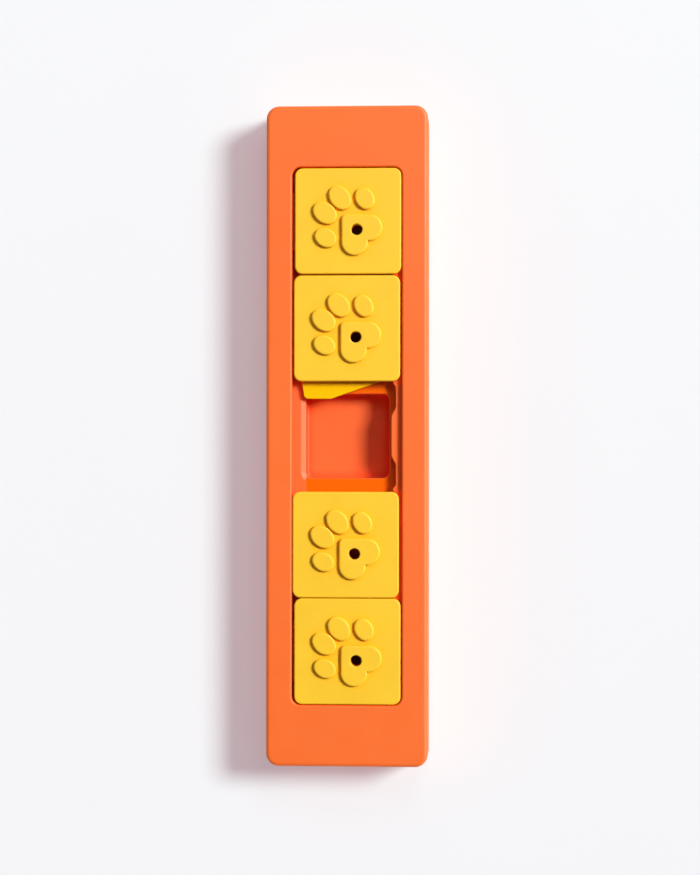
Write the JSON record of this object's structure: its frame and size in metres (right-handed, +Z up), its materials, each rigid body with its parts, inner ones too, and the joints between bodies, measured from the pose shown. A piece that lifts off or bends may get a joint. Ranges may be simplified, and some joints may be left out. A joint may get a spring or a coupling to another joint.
{
  "type": "dog puzzle feeder toy",
  "caption": "Long shallow treat puzzle for dogs: sliding paw-print tiles in a moulded box hide a row of treat wells, with one well left open so that the tiles can be pushed along.",
  "frame": {"origin": "centre of the box seen from above, on the plane that the feet stand on", "axes": "+Y along the row of tiles, +X across it towards the locking lip, +Z up"},
  "size_m": [0.0844, 0.345, 0.0319],
  "materials": {
    "deck_plastic": "fine moulded texture, orange",
    "tray_plastic": "smooth moulded, orange",
    "cover_plastic": "fine moulded texture, orange",
    "cap_plastic": "fine moulded texture, yellow",
    "keel_plastic": "polished moulded, yellow",
    "foot_rubber": "matt grey moulded rubber",
    "screw_steel": "plated steel"
  },
  "bodies": {
    "box": {"top_shell": "deck_plastic", "well_tray": "tray_plastic", "well_cup_1": "tray_plastic", "well_cup_2": "tray_plastic", "well_cup_3": "tray_plastic", "well_cup_4": "tray_plastic", "well_cup_5": "tray_plastic", "bottom_cover": "cover_plastic", "cover_screws": "screw_steel", "foot_1": "foot_rubber", "foot_2": "foot_rubber", "foot_3": "foot_rubber", "foot_4": "foot_rubber", "foot_5": "foot_rubber", "foot_6": "foot_rubber"},
    "tile_1": {"tile_cap_1": "cap_plastic", "tile_keel_1": "keel_plastic", "keel_screws_1": "screw_steel"},
    "tile_2": {"tile_cap_2": "cap_plastic", "tile_keel_2": "keel_plastic", "keel_screws_2": "screw_steel"},
    "tile_3": {"tile_cap_3": "cap_plastic", "tile_keel_3": "keel_plastic", "keel_screws_3": "screw_steel"},
    "tile_4": {"tile_cap_4": "cap_plastic", "tile_keel_4": "keel_plastic", "keel_screws_4": "screw_steel"}
  },
  "joints": [
    {"name": "tile_1_slide", "type": "slide", "parent": "box", "child": "tile_1", "axis": [0, -1, 0], "range_m": [0, 0.0286]},
    {"name": "tile_2_slide", "type": "slide", "parent": "box", "child": "tile_2", "axis": [0, -1, 0], "range_m": [0, 0.0286]},
    {"name": "tile_3_slide", "type": "slide", "parent": "box", "child": "tile_3", "axis": [0, 1, 0], "range_m": [0, 0.0286]},
    {"name": "tile_4_slide", "type": "slide", "parent": "box", "child": "tile_4", "axis": [0, 1, 0], "range_m": [0, 0.0286]}
  ],
  "couplings": [
    {"joint": "tile_1_slide", "follows": "tile_2_slide", "ratio": 1},
    {"joint": "tile_4_slide", "follows": "tile_3_slide", "ratio": 1}
  ]
}
